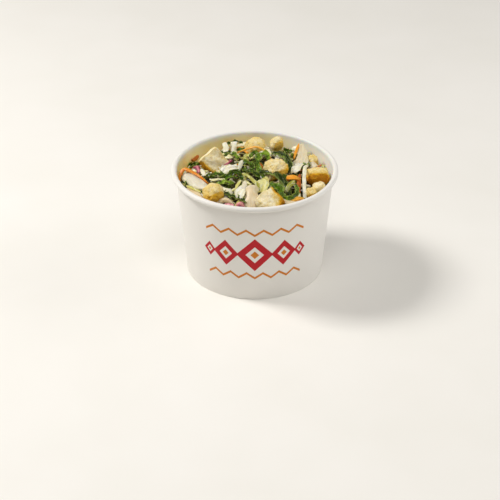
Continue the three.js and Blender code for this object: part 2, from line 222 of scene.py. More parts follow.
def new_material(name, surface, settings=None):
    """A material whose shader gets the inputs that surface(add, settings) works out with nodes."""
    material = bpy.data.materials.new(name)
    material.use_nodes = True
    tree = material.node_tree
    connect(tree, tree.nodes["Principled BSDF"], surface(partial(add_node, tree), settings))
    return material


def tinted(add, colour, tint, mask, amount=1.0, sharpness=1.0, way="MIX"):
    """A colour with a tint over it where a mask shows; a sharper mask keeps to its brightest parts."""
    mask = add("Math", (mask, sharpness), operation="POWER")
    mask = add("Math", (mask, amount), operation="MULTIPLY")
    return add("Mix", {0: mask, 6: colour, 7: tint}, 2, data_type="RGBA", blend_type=way)


def surface_of(colour, roughness, ior, glow, relief):
    """A shader's inputs; glow is how much light goes in, how far each colour goes and its scale."""
    weight, reach, scale = glow
    return {"Base Color": colour, "Roughness": roughness, "IOR": ior, "Subsurface Weight": weight,
            "Subsurface Radius": reach, "Subsurface Scale": scale, "Normal": relief}


# ---- The cup ----

ROLL_START = 57.0  # height where the wall turns into the rolled rim, in millimetres
WALL_ROUND, BASE_ROUND = 180, 120  # steps round the wall, and round the base and the bed

# The print, in millimetres: a row of lozenges between two zigzags.
PRINT_CENTRE = 29.5  # height of the row
PRINT_HALF_WIDTH = 27.0
LOZENGES = ((0, 10, 10.5), (15.8, 7.2, 8.2), (25.4, 3.6, 4.6))  # centre, half width, half height
HOLLOW, CORE = 0.5, 0.24  # of a lozenge's size
ZIGZAGS = (PRINT_CENTRE + 14.2, PRINT_CENTRE - 13.6)
ZIG, RISE, HALF_LINE = 4.5, 3.2, 0.8  # half a wave, its height, and half the line's width
INK_EDGE = 10.0  # the ink fades out over a tenth of a millimetre


def printed(add, across, up):
    """Red and orange ink, 1 where it lies and 0 off it; the lozenges are the same on both sides."""
    aside = add("Math", (across,), operation="ABSOLUTE")
    above = add("Math", (add("Math", (up, PRINT_CENTRE), operation="SUBTRACT"),), operation="ABSOLUTE")
    red = orange = 0.0
    for centre, half_width, half_height in LOZENGES:
        away = add("Math", (add("Math", (aside, centre), operation="SUBTRACT"),), operation="ABSOLUTE")
        slant = -INK_EDGE * half_width / half_height
        inks = []
        for share in (1, HOLLOW, CORE):
            reach = add("Math", (above, slant, INK_EDGE * half_width * share), operation="MULTIPLY_ADD")
            inks.append(add("Math", (away, -INK_EDGE, reach), operation="MULTIPLY_ADD", use_clamp=True))
        ring = add("Math", (inks[0], inks[1]), operation="SUBTRACT")
        red = add("Math", (red, ring), operation="ADD")
        orange = add("Math", (orange, inks[2]), operation="ADD")
    within = add("Math", (aside, PRINT_HALF_WIDTH), operation="LESS_THAN")
    for middle in ZIGZAGS:
        wave = add("Math", (across, ZIG), operation="PINGPONG")
        line = add("Math", (wave, RISE / ZIG, middle - RISE / 2), operation="MULTIPLY_ADD")
        away = add("Math", (add("Math", (up, line), operation="SUBTRACT"),), operation="ABSOLUTE")
        stroke = add("Math", (away, -INK_EDGE, INK_EDGE * HALF_LINE), operation="MULTIPLY_ADD",
                     use_clamp=True)
        orange = add("Math", (stroke, within, orange), operation="MULTIPLY_ADD")
    return red, orange


def coated_paperboard(add, cup):
    """Clay-coated, white paperboard with a thin plastic film: smooth, satin, faintly fibrous."""
    place = add("TexCoord", output="Object")
    fibres = add("TexNoise", {"Vector": place, "Scale": 1 / (0.35 * MM), "Detail": 4})
    clouds = add("TexNoise", {"Vector": place, "Scale": 1 / (9 * MM), "Detail": 1})
    x, y, z = [add("SeparateXYZ", (place,), axis) for axis in "XYZ"]
    up = add("Math", (z, MM), operation="DIVIDE")
    # Distance round the front, in millimetres at the print's own radius.
    bearing = add("Math", (x, add("Math", (y, -1), operation="MULTIPLY")), operation="ARCTAN2")
    across = add("Math", (bearing, mm(cup.foot_radius + cup.shoulder_radius) / 2), operation="MULTIPLY")
    red, orange = printed(add, across, up)
    # The ink lies only on the outside of the wall, a little thinner over the fibres.
    level = add("VectorMath", (place, (1, 1, 0)), operation="MULTIPLY")
    radius = add("VectorMath", (level,), "Value", operation="LENGTH")
    slope = (cup.shoulder_radius - cup.foot_radius) / cup.shoulder_height
    skin = add("Math", (z, -slope, radius), operation="MULTIPLY_ADD")
    outside = add("Math", (skin, cup.foot_radius - cup.paper / 2), operation="GREATER_THAN")
    wear = add("Math", (fibres, -0.012, 1), operation="MULTIPLY_ADD")
    ink = add("Math", (outside, wear), operation="MULTIPLY")
    # Painted warm bounce light and shade on the inside of the wall: tan, strongest towards the left, in
    # clouds, fading out just under the rim top.
    leftward = add("Math", (x, -1 / (45 * MM), 0.75), operation="MULTIPLY_ADD", use_clamp=True)
    cloudy = add("Math", (clouds, 0.7, 0.45), operation="MULTIPLY_ADD")
    below_rim_top = add("Math", (up, -1 / 3, (mm(cup.height) - 0.8) / 3), operation="MULTIPLY_ADD",
                  use_clamp=True)
    painted_bounce_mask = add("Math", (add("Math", (leftward, cloudy), operation="MULTIPLY"), below_rim_top),
                 operation="MULTIPLY")
    paper = tinted(add, cup.paper_colour, "#E0DBD1", clouds, 0.1)
    # The inside of the wall takes the painted bounce light and shade.
    inner = tinted(add, cup.inner_colour, cup.painted_bounce_shade, painted_bounce_mask)
    colour = tinted(add, inner, paper, outside)
    colour = tinted(add, colour, cup.red_ink, add("Math", (red, ink), operation="MULTIPLY"))
    colour = tinted(add, colour, cup.orange_ink, add("Math", (orange, ink), operation="MULTIPLY"))
    satin = add("MapRange", {"Value": fibres, "To Min": 0.36, "To Max": 0.5})
    inward = add("Math", (outside, -0.6, 0.6), operation="MULTIPLY_ADD")
    return surface_of(colour, satin, 1.33, (inward, (1.3, 0.8, 0.35), 0.002),
                      add("Bump", {"Height": fibres, "Distance": 0.012 * MM}))


class COLESLAW_OT_cup(bpy.types.Operator):
    """Model the paper cup: a tapered wall with its rim rolled out, and a raised base"""

    bl_idname = "coleslaw.cup"
    bl_label = "Paper Cup"

    def execute(self, context):
        settings = context.scene.coleslaw_cup
        paper = mm(settings.paper)
        foot = mm(settings.foot_radius)
        shoulder = mm(settings.shoulder_height) - 1
        slope = (settings.shoulder_radius - settings.foot_radius) / settings.shoulder_height
        roll = mm(settings.roll)
        roll_radius, roll_height = mm(settings.rim_radius) - roll, mm(settings.height) - roll
        hem = mm(settings.base_radius) - paper - 0.3
        wall_steps = 12
        outer = [(foot + slope * z, z) for z in np.linspace(0.35, shoulder, wall_steps)]
        inner = [(foot - paper + slope * z, z) for z in np.linspace(shoulder, paper + 0.1, wall_steps)]
        profile = [
            (foot - 0.2, 0), (foot - 0.05, 0.08), *outer,
            *arc(roll_radius, roll_height, roll - paper, 190, -90, 12),
            *arc(roll_radius, roll_height, roll, -90, 180, 20),
            *inner,
            (hem, paper), (hem, mm(settings.hem_height)),
            (hem - paper, mm(settings.hem_height)), (hem - paper, 0.1), (hem - paper + 0.1, 0),
        ]
        bm = spun(profile, WALL_ROUND)
        self.raise_seam(bm, foot, slope)
        material = new_material("coated_paperboard", coated_paperboard, settings)
        finish_piece(bm, "paper_wall", material, ["cup_wall"])

        flange, top = mm(settings.base_radius), mm(settings.base_height)
        base_profile = [
            (0, top - paper), (flange - 2, top - paper), (flange - paper - 0.2, top - paper - 0.1),
            (flange - paper, top - paper - 0.4), (flange - paper, paper + 0.3), (flange, paper + 0.3),
            (flange, top - 0.5), (flange - 0.15, top - 0.15), (flange - 0.5, top), (0, top),
        ]
        finish_piece(spun(base_profile, BASE_ROUND), "paper_base", material, ["cup_base"])
        return {"FINISHED"}

    @staticmethod
    def raise_seam(bm, foot, slope):
        """The board overlaps itself in a strip at the back, where its edge stands proud."""
        half_width, slant, proud = 4.1, 0.8, 0.22
        for vert in bm.verts:
            x, y, z = vert.co
            outside = math.hypot(x, y) > foot + slope * z - 0.1
            if y > 0 and outside and z < ROLL_START and abs(x) < half_width:
                rise = proud * min(1, max(0, (half_width - abs(x)) / slant))
                vert.co.x *= 1 + rise / foot
                vert.co.y *= 1 + rise / foot


# ---- Where the food lies ----

HOLLOWS = ((146, 14, 3.2), (67, 13, 2.2), (31, 8, 1.8))  # dips at the wall: bearing, spread, depth
CLEAR_OF_WALL = 0.25
REACH, NEAR_WALL = 41, 34  # how far from the axis pieces drop, and from where they follow the wall
SURFACE, EDGE_GAP = 55, 0.6  # height at which a piece's line keeps clear of the wall, and by how much


class Heap:
    """The heap's surface, and the height of what already lies in the cup."""

    cell = 0.75  # of the height map, in millimetres
    half = 45.0  # the map's half width

    def __init__(self, cup, slaw):
        self.foot = mm(cup.foot_radius - cup.paper)
        self.slope = (cup.shoulder_radius - cup.foot_radius) / cup.shoulder_height
        self.crown, self.edge = mm(slaw.crown), mm(slaw.edge)
        self.front_rise, self.bed_depth = mm(slaw.front_rise), mm(slaw.bed_depth)
        size = int(2 * self.half / self.cell) + 1
        self.ground = np.zeros((size, size))
        for i in range(size):
            for j in range(size):
                x, y = i * self.cell - self.half, j * self.cell - self.half
                self.ground[i, j] = self.height(x, y) - self.bed_depth

    def inner_radius(self, z):
        return self.foot + self.slope * min(z, ROLL_START)

    def height(self, x, y):
        """Top of the bare heap."""
        reach = min(math.hypot(x, y) / (self.inner_radius(self.edge) - 0.3), 1)
        bearing = math.degrees(math.atan2(y, x))
        edge = self.edge - self.front_rise * math.sin(math.radians(bearing))
        for middle, spread, depth in HOLLOWS:
            edge -= depth * math.exp(-(((bearing - middle) / spread) ** 2))
        lumps = (0.8 * math.sin(x / 4.1 + 0.6) * math.cos(y / 3.7 - 0.4)
                 + 0.5 * math.sin((x + y) / 2.9 + 1.1) * math.cos((x - y) / 3.3))
        return edge + (self.crown - edge) * (1 - reach ** 3) + lumps * (1 - reach ** 6)

    def cells(self, x, y, spread):
        low = [max(0, int(round((v - spread + self.half) / self.cell))) for v in (x, y)]
        high = [int(round((v + spread + self.half) / self.cell)) + 1 for v in (x, y)]
        return slice(low[0], high[0]), slice(low[1], high[1])

    def top(self, x, y, spread=0.8):
        """Height of what lies at x, y so far."""
        return float(self.ground[self.cells(x, y, spread)].max())

    def pile(self, points):
        """Records the upper points of a piece that was laid down."""
        for x, y, z in points:
            here = self.cells(x, y, 0.2)
            self.ground[here] = np.maximum(self.ground[here], z)

    def keep_inside(self, point):
        """Moves a point that would cross the wall back to it."""
        limit = self.inner_radius(point.z) - CLEAR_OF_WALL
        radius = math.hypot(point.x, point.y)
        if radius > limit:
            point.x *= limit / radius
            point.y *= limit / radius
        return point


# ---- Croutons ----

# Each cut cube: its centre, size and turn (degrees), how rounded it is (0 to 1), the way its
# browned side looks, how brown that side is and how far towards it the browning starts (-1 to 1),
# how yellow its crumb is, and how deep its crags are.
CROUTONS = (
    ((-22.4, 10.8, 58.2), (12, 11.6, 10.2), (57, 11, 43), 0.24, (-0.3, -0.4, -0.9), 0.7, 0.06, 0.08, 0.12),
    ((-21.9, -24.6, 58.3), (9.8, 9.4, 9), (22, -8, 30), 0.85, (0.2, -0.5, -0.85), 0.29, -0.2, 0.2, 0.25),
    ((0.4, 27.6, 58.2), (10.2, 9.2, 8.8), (26, 8, 24), 0.85, (0, -0.3, -0.9), 0.3, 0.1, 0.19, 0.25),
    ((11.2, -2.6, 60.4), (11.5, 10.4, 9.8), (16, 14, 24), 0.62, (0.8, -0.3, -0.6), 0.35, 0.1, 0.14, 0.45),
    ((7.6, -32.2, 57.2), (12.4, 11.6, 10.4), (38, 6, 42), 0.36, (1, 0.2, 0.1), 0.7, 0.14, 0.04, 0.22),
    ((33.6, -4.4, 57.4), (12, 9.2, 8.6), (-10, 2, 4), 0.75, (0, -0.6, -0.8), 0.66, -0.25, 0.2, 0.14),
    ((29.8, -20.8, 56.8), (5.2, 5, 4.4), (20, 10, 30), 0.5, (0, -0.5, -0.9), 0.3, 0.2, 0.22, 0.2),
    ((34.2, -14.4, 56.4), (6.8, 5.6, 4.6), (14, -8, 12), 0.6, (0, 0, -1), 0.2, 0.2, 0.1, 0.3),
    ((12.3, 34.2, 56.8), (6.7, 6.1, 7.1), (12, 8, 26), 0.8, (0.9, -0.5, -0.2), 0.3, 0.05, 0.13, 0.2),
    ((31.2, 16.6, 55.6), (6.5, 6, 5.2), (15, 5, 35), 0.6, (0.2, -0.4, -0.8), 0.3, 0.05, 0.2, 0.2),
)


def turn_of(angles):
    """A rotation about Z first, then Y, then X; angles for X, Y and Z in degrees."""
    return Euler([math.radians(a) for a in angles], "ZYX").to_matrix()


def in_crouton(point, margin):
    """Whether a point lies in any crouton, or within a margin round it."""
    for at, size, turn, *_ in CROUTONS:
        if (point - Vector(at)).length > max(size):
            continue
        local = turn_of(turn).transposed() @ (point - Vector(at))
        if sum(abs(v / (side / 2 + margin)) ** 4 for v, side in zip(local, size)) < 1:
            return True
    return False


def toasted_bread(add, croutons):
    """White bread cut in cubes and fried in oil: dry, porous crumb with golden, browned edges."""
    place = add("TexCoord", output="Object")
    toast = add("Attribute", output="Fac", attribute_name="toast")
    pit_toast_shade = add("Attribute", output="Fac", attribute_name="pit_toast_shade")
    blotches = add("TexNoise", {"Vector": place, "Scale": 1 / (2.6 * MM), "Detail": 3, "Roughness": 0.6})
    grains = add("TexNoise", {"Vector": place, "Scale": 1 / (0.45 * MM), "Detail": 3, "Roughness": 0.7})
    pores = add("TexVoronoi", {"Vector": place, "Scale": 1 / (0.9 * MM)})
    uneven = add("Math", (blotches, 0.35, -0.175), operation="MULTIPLY_ADD")
    browning = add("Math", (toast, uneven), operation="ADD")
    colour = add("ValToRGB", (browning,), stops=((0.0, croutons.crumb), (0.24, "#E2C882"),
                                                 (0.6, croutons.toast), (1.0, croutons.crust)))
    crumbs = add("ValToRGB", (grains,), stops=((0.36, "#8A7848"), (0.5, "#C4B796"), (0.64, "#FFFFFF")))
    colour = tinted(add, colour, crumbs, 0.55, way="SOFT_LIGHT")
    # Darker gold in the holes and pores: partly the crumb's toasting, partly painted shade in the hollows.
    colour = tinted(add, colour, "#CDA640", pit_toast_shade, 0.55)
    rough = add("Math", (pores, 0.6, add("Math", (grains, 0.8), operation="MULTIPLY")),
                operation="MULTIPLY_ADD")
    return surface_of(colour, 0.8, 1.33, (0.2, (0.9, 0.75, 0.4), 0.0015),
                      add("Bump", {"Height": rough, "Distance": 0.22 * MM}))


ROUND_RADIUS = 1.25  # of the ball that a cube is rounded towards, in half sides
LARGE, MANY_CUTS, FEW_CUTS = 8, 25, 15  # a crouton over 8 mm has its sides cut more finely
HOLE, PORE = (0.34, 1.5), (0.36, 0.9)  # how wide and how deep the holes and the pores are


def crouton_cube(bm, number, at, size, turn, rounding, browned, brown, start, yellow, crags):
    """One rough cube: rounded, pitted and torn, with its toasting stored on its points."""
    toast = bm.verts.layers.float.get("toast") or bm.verts.layers.float.new("toast")
    pit_toast_shade = bm.verts.layers.float.get("pit_toast_shade") or bm.verts.layers.float.new("pit_toast_shade")
    cube = bmesh.ops.create_cube(bm, size=2)
    edges = list({e for v in cube["verts"] for e in v.link_edges})
    cuts = MANY_CUTS if max(size) > LARGE else FEW_CUTS
    bmesh.ops.subdivide_edges(bm, edges=edges, cuts=cuts, use_grid_fill=True)
    verts = bm.verts[:]
    rotation = turn_of(turn)
    seed = Vector((number * 7.3, number * 3.1, number * 5.7))
    browned = Vector(browned).normalized()
    for vert in verts:
        corner = vert.co.copy()
        rough = (0.035 * math.sin(5.1 * corner.x + 3.7 * corner.y + number)
                 + 0.035 * math.sin(4.3 * corner.z - 3.1 * corner.x + 2 * number))
        near_edge = sorted(abs(c) for c in corner)[1] ** 6
        facing = rotation @ Vector(c ** 5 for c in corner).normalized()
        rounded = corner.lerp(corner.normalized() * ROUND_RADIUS, rounding) * (1 + rough)
        real = Vector(rounded[i] * size[i] / 2 for i in range(3))
        way = real.normalized()
        torn = noise.fractal(real * 0.35 + seed, 0.9, 2.2, 4)
        hole = noise.voronoi(real * 0.42 + seed)[0][0]
        pore = noise.voronoi(real * 1.1 + seed)[0][0]
        rubbed = 0.5 + 0.5 * noise.noise(real * 0.85 + seed)
        lumps = noise.fractal(real * 0.8 - seed, 0.7, 2.1, 3)
        depth = max(0.0, HOLE[0] - hole) * HOLE[1] + max(0.0, PORE[0] - pore) * PORE[1]
        real -= way * (depth + 0.3 * max(0.0, -torn) + 0.35 * rubbed + crags * (lumps + 0.6))
        # How deep the point lies in a hole or pore, which sets the painted shade and the toasting there.
        vert[pit_toast_shade] = min(1.0, depth * 1.5)
        towards = 0.5 * facing.dot(browned) + 0.4 * (rotation @ corner).dot(browned) + 0.12 * torn
        side = min(1, max(0, (towards - start) / 0.5))
        vert[toast] = yellow + brown * side * side * (3 - 2 * side) + 0.08 * near_edge + 0.06 * torn
        vert.co = rotation @ real + Vector(at)


class COLESLAW_OT_croutons(bpy.types.Operator):
    """Model each crouton as a rough, porous cube of toasted bread"""

    bl_idname = "coleslaw.croutons"
    bl_label = "Croutons"

    def execute(self, context):
        material = new_material("toasted_bread", toasted_bread, context.scene.coleslaw_croutons)
        for number, (node, cut) in enumerate(zip(CROUTON_NODES, CROUTONS), 1):
            bm = bmesh.new()
            crouton_cube(bm, number, *cut)
            finish_piece(bm, f"toasted_{node}", material, [node])
        return {"FINISHED"}


# ---- Chopped pieces ----

STRETCH_POINTS = 13  # of a smooth line, between two of the points that it goes through


def smooth_line(points, count):
    """count + 1 points, evenly spaced, on a Catmull-Rom line through the given ones."""
    p = np.array([2 * points[0] - points[1], *points, 2 * points[-1] - points[-2]])
    t = np.linspace(0, 1, STRETCH_POINTS)[:, None]
    dense = []
    for a, b, c, d in zip(p, p[1:], p[2:], p[3:]):
        dense.append(0.5 * (2 * b + (c - a) * t + (2 * a - 5 * b + 4 * c - d) * t ** 2
                            + (3 * b - a - 3 * c + d) * t ** 3))
    line = np.concatenate(dense)
    far = np.concatenate([[0], np.cumsum(np.linalg.norm(np.diff(line, axis=0), axis=1))])
    even = np.linspace(0, far[-1], count + 1)
    return np.stack([np.interp(even, far, line[:, i]) for i in range(3)], axis=1), far[-1]


RIDGES = 2.6  # radians of a ridged leaf's waves for each millimetre across it
CUT_SPACING = 2.5  # millimetres between the cuts in a piece's long edges


class Chopper:
    """Lays one kind of piece in the heap, all in one mesh, and keeps what its material reads."""

    def __init__(self, heap, seed, spacing):
        self.heap = heap
        self.spacing = spacing  # of a piece's grid, in millimetres
        self.random = random.Random(seed)
        self.bm = bmesh.new()
        layers = self.bm.verts.layers
        self.grain = layers.float_vector.new("grain")  # mm along, mm across, tone of the piece
        self.rim = layers.float.new("rim")  # 0 in the middle of a piece, 1 at its long edges
        self.crest = layers.float.new("crest")  # how far its surface waves up, in millimetres

    def lay(self, path, width, thickness, cup=0.0, curl=0.0, ruffle=0.0, crinkle=0.0, ridged=0.0,
            twist=0.0, point=0.3, blunt=1.0, taper=0.0, face=(0, -0.3, 1), jag=0.15, slant=0.0,
            tone=None, lifted=True, may_cross=False, edge_thin=0.5):
        """Adds a piece along path. Its points are [x, y, lift over the heap], or plain heights."""
        heap, rnd = self.heap, self.random
        points = [np.array((x, y, z + (heap.height(x, y) if lifted else 0))) for x, y, z in path]
        rough_length = sum(np.linalg.norm(b - a) for a, b in zip(points, points[1:]))
        steps = max(5, int(rough_length / self.spacing))
        across = max(3, int(width / self.spacing))
        line, length = smooth_line(points, steps)
        along = np.gradient(line, axis=0)
        along /= np.linalg.norm(along, axis=1)[:, None]
        facing = Vector(face)
        seed = Vector((rnd.uniform(0, 90), rnd.uniform(0, 90), rnd.uniform(0, 90)))
        tone = rnd.random() if tone is None else tone
        phase = rnd.uniform(0, 6.28)
        knots = np.linspace(0, 1, max(3, int(length / CUT_SPACING) + 1))
        cuts = [[1 - jag * rnd.random() * 1.6 for _ in knots] for _ in (0, 1)]
        slants = [slant + rnd.uniform(-0.1, 0.1), slant + rnd.uniform(-0.1, 0.1)]

        def frame_at(s):
            i = s * steps
            low = min(int(i), steps - 1)
            share = i - low
            centre = Vector(line[low] * (1 - share) + line[low + 1] * share)
            tangent = Vector(along[low] * (1 - share) + along[low + 1] * share).normalized()
            up = (facing - tangent * facing.dot(tangent)).normalized()
            aside = up.cross(tangent)
            turn = math.radians(twist) * (s - 0.5)
            return (centre, up * math.cos(turn) - aside * math.sin(turn),
                    aside * math.cos(turn) + up * math.sin(turn))

        def place(s, q, side):
            end = abs(2 * s - 1) ** 2
            slid = min(1.0, max(0.0, s + slants[s > 0.5] * q * end))
            centre, up, aside = frame_at(slid)
            cut = np.interp(s, knots, cuts[q > 0])
            half = width / 2 * (1 - point * abs(2 * s - 1) ** 3) ** blunt * (1 - taper * s) * cut
            spot = Vector((slid * length, q * half, 0))
            wave = ruffle * abs(q) ** 1.5 * (math.sin(1.7 * spot.x + 1.5 * q + phase)
                                             + 0.4 * math.sin(3.9 * spot.x - 2 * q + 2 * phase))
            wave += crinkle * (noise.noise(spot * 0.33 + seed) + 0.35 * noise.noise(spot * 0.85 + seed))
            wave += ridged * math.sin(RIDGES * spot.y + 0.3 * spot.x + phase)
            roll = math.radians(curl) * (1 + 0.4 * math.sin(0.5 * spot.x + phase))
            out = half * math.sin(roll * q) / roll if curl else half * q
            rise = half * (1 - math.cos(roll * q)) / roll if curl else 0
            body = thickness / 2 * (1 - edge_thin * abs(q) ** 4)
            lumps = 0.15 * thickness * noise.noise(spot + Vector((0, 0, side * 3)) + seed)
            where = centre + aside * out + up * (cup * q * q + rise + wave + side * body + lumps)
            return heap.keep_inside(where), wave

        rows = {}
        for i in range(steps + 1):
            for j in range(across + 1):
                for side in (-1, 1):
                    rows[i, j, side] = place(i / steps, 2 * j / across - 1, side)
        if not may_cross and any(in_crouton(p, 0.1) for p, _ in rows.values()):
            return
        self.add_sheet(rows, steps, across, (length, width, tone))
        heap.pile([p for (i, j, side), (p, _) in rows.items() if side == 1])

    def add_sheet(self, rows, steps, across, marks):
        """A grid, extruded to a closed sheet, with every point moved to its place."""
        length, width, tone = marks
        grid = bmesh.ops.create_grid(self.bm, x_segments=steps, y_segments=across, size=1)
        lower = grid["verts"]
        faces = list({f for v in lower for f in v.link_faces})
        grown = bmesh.ops.extrude_face_region(self.bm, geom=faces)
        upper = [g for g in grown["geom"] if isinstance(g, bmesh.types.BMVert)]
        for side, verts in ((-1, lower), (1, upper)):
            for vert in verts:
                s, q = (vert.co.x + 1) / 2, vert.co.y
                vert[self.grain] = (s * length, q * width / 2, tone)
                vert[self.rim] = abs(q)
                vert.co, vert[self.crest] = rows[round(s * steps), round((q + 1) / 2 * across), side]

    def strew(self, count, length, width, thickness, stiff, full, **shape):
        """Drops pieces at random places, each resting on what lies there already."""
        heap, rnd = self.heap, self.random
        for _ in range(count):
            distance = REACH * math.sqrt(rnd.random())
            bearing = rnd.uniform(0, 2 * math.pi)
            x, y = distance * math.cos(bearing), distance * math.sin(bearing)
            heading = rnd.uniform(0, math.pi)
            if distance > NEAR_WALL:
                heading = bearing + math.pi / 2 + rnd.uniform(-0.7, 0.7)
            long = rnd.uniform(*length)
            wide = rnd.uniform(*width)
            bend = rnd.uniform(-0.25, 0.25) * long
            if heap.top(x, y, 1.5) > heap.height(x, y) + full:
                continue
            spots_on = []
            for share in (-0.5, -0.25, 0, 0.25, 0.5):
                shift = bend * (0.25 - share * share)
                px = x + share * long * math.cos(heading) - shift * math.sin(heading)
                py = y + share * long * math.sin(heading) + shift * math.cos(heading)
                limit = heap.inner_radius(SURFACE) - EDGE_GAP
                if math.hypot(px, py) > limit:
                    scale = limit / math.hypot(px, py)
                    px, py = px * scale, py * scale
                spots_on.append([px, py, heap.top(px, py, wide * 0.35) + thickness * 0.5])
            straight = np.polyfit([0, 1, 2, 3, 4], [p[2] for p in spots_on], 1)
            line = np.polyval(straight, [0, 1, 2, 3, 4])
            gap = max(p[2] - z for p, z in zip(spots_on, line))
            for i, p in enumerate(spots_on):
                p[2] = stiff * (line[i] + gap * 0.6) + (1 - stiff) * p[2]
            tilt = rnd.uniform(-1.1, 1.1)
            self.lay(spots_on, wide, thickness, lifted=False, twist=rnd.uniform(-50, 50),
                     face=(tilt * math.sin(heading), -tilt * math.cos(heading), 1),
                     slant=rnd.uniform(-0.15, 0.15), **shape)


# ---- Pieces that lie on top, each with its own place: [x, y, lift over the bare heap] ----

CARROT_ON_TOP = (
    # The long shreds: against the left wall, and across the back.
    dict(path=((-40.4, -4.5, 0.6), (-40.2, -0.5, 2.8), (-38, 1.5, 4.4), (-34.9, -1, 4.2),
               (-30, -8.5, 3.4), (-24.9, -13.5, 1.6)), width=2.1, taper=0.35, thickness=1.2,
         tone=0.68),
    dict(path=((-9.4, 21, 0.8), (-3.6, 21.7, 2.8), (0.7, 20.8, 3.5), (4.6, 19, 3.5),
               (7.3, 15.5, 2.8), (9, 11, 1)), width=1.2, thickness=0.9, tone=0.15),
    # The stick at the back right.
    dict(path=((24.6, 29.5, 5.6), (22.7, 22.5, 2.6), (21.5, 17.5, -0.6)), width=1.7, tone=0.35),
    # A corner of two pieces, and a thick one near the front, at the right.
    dict(path=((17, -10.2, 0.6), (20.8, -11.4, 2), (24.4, -10.8, 1.8)), width=4.2, tone=0.4,
         taper=0.3, curl=20, point=0.3, jag=0.25, crinkle=0.3),
    dict(path=((24.2, -5.5, 1.8), (23.5, -12, 1.6), (23.5, -20.5, -0.4)), width=2.5, tone=1.1),
    dict(path=((18.2, -30.2, 0), (21.6, -28.4, 1.4), (25.6, -25.6, 0.6)), width=2.8, tone=0.1),
    # Short bits, in the middle and on the left wall.
    dict(path=((1.8, 7.4, 0.8), (4.2, 0.5, 0.8)), width=2.2, tone=0.9),
    dict(path=((-34.2, 20.6, 2.9), (-31, 24.2, 3.6)), width=2.8, tone=0.95, jag=0.3, point=0.2),
)

KALE_ON_TOP = (
    # The bright leaf in the middle and its curled tip.
    dict(path=((-2.2, 14, 0.4), (-1, 15.5, 2.6), (1.4, 14.5, 3.2), (2, 8, 2.8), (1.6, 2, 2.4),
               (2.6, -4, 1.8), (5, -8, 0)), width=4.6, tone=0.6, curl=80, jag=0.2),
    dict(path=((1.4, 12, 2.4), (4.2, 14.5, 3.8), (7, 14.8, 3.2), (7.4, 10.5, 1)), width=3.8, tone=1.0,
         curl=70, jag=0.2),
    # The long dark leaf that bends down to the front right.
    dict(path=((0, -5, 1.2), (4.2, -5.8, 3.5), (9, -7.6, 4), (13, -11.6, 3.6), (15.8, -15.4, 2.8),
               (17.8, -20, 1.2), (18, -23, -0.6)), width=5.2, tone=-0.35, curl=-60, ruffle=0.25, jag=0.15,
         crinkle=0.35),
    # The dark leaf at the back right.
    dict(path=((10.2, 19.5, 1.6), (13.8, 16, 3), (17.4, 10, 3), (19, 4.5, 2.4), (19.6, -1.5, 0.8)),
         width=5.8, tone=-0.2, curl=-40, crinkle=0.9),
    # Curls from the left to the middle.
    dict(path=((-27, -3, -0.4), (-22.4, -4, 1), (-18, -6, 1), (-13, -6.6, 0)), width=3.6, tone=0.2),
    dict(path=((-17, -9, 0), (-13.6, -9.4, 2), (-9.6, -9, 2.6), (-6.5, -12.5, 1)), width=5.6,
         tone=0.25, curl=85, face=(0, -0.5, 0.85), jag=0.2),
    dict(path=((-7, 1.5, 0.4), (-4.8, -3.4, 2.2), (-1, -6, 2.2), (3, -7.6, 0.6)), width=4.6, tone=0.2,
         curl=75, jag=0.25),
    dict(path=((-20.5, -13.2, 0.6), (-16, -14.6, 1.6), (-11, -15.2, 1)), width=3.6, tone=1.0, curl=50),
    dict(path=((-9.5, 5, 0.2), (-6, 4.6, 2.4), (-2.5, 3.2, 2.6), (-1, -1, 1)), width=5, tone=0.4,
         curl=60),
    # The ruffled leaf at the front right and its pale green edge.
    dict(path=((6.5, -17, 0.6), (10, -19.5, 2.6), (13.2, -22.5, 2.4), (15, -27, 0.6)), width=6.5,
         tone=0.5, curl=40),
    dict(path=((14.4, -27, 0.8), (17, -29.4, 2), (20.4, -28, 2.4), (22.2, -23.6, 3), (21.8, -18.5, 3)),
         width=3.4, tone=0.45, face=(0.3, -0.9, 0.4), curl=25, jag=0.2),
    # The narrow dark one at the front, and small ones at the back.
    dict(path=((-16, -21.5, 0.2), (-12.2, -27, 1.4), (-8, -30, 1.3), (-3, -30.8, -0.4)), width=3.6,
         tone=-0.1, curl=30),
    dict(path=((-13.8, 23, 0), (-11.8, 16.5, 1.8), (-9, 12, 0.2)), width=4.6, tone=0.6),
    dict(path=((-10.5, 28.5, -0.2), (-3, 28.4, 0.6)), width=3, tone=0.3),
    dict(path=((-16.5, 33.2, 2), (-11.5, 35.4, 3.4), (-6.5, 35, 2.2)), width=2.6, tone=-0.1),
    dict(path=((8, -1, 0.5), (13, -7, 1), (20, -9, 0)), width=5, tone=0.3),
    dict(path=((25.5, 3, 0.6), (28, 8, 1.4), (30.5, 11, 0.2)), width=3, tone=0.35),
)

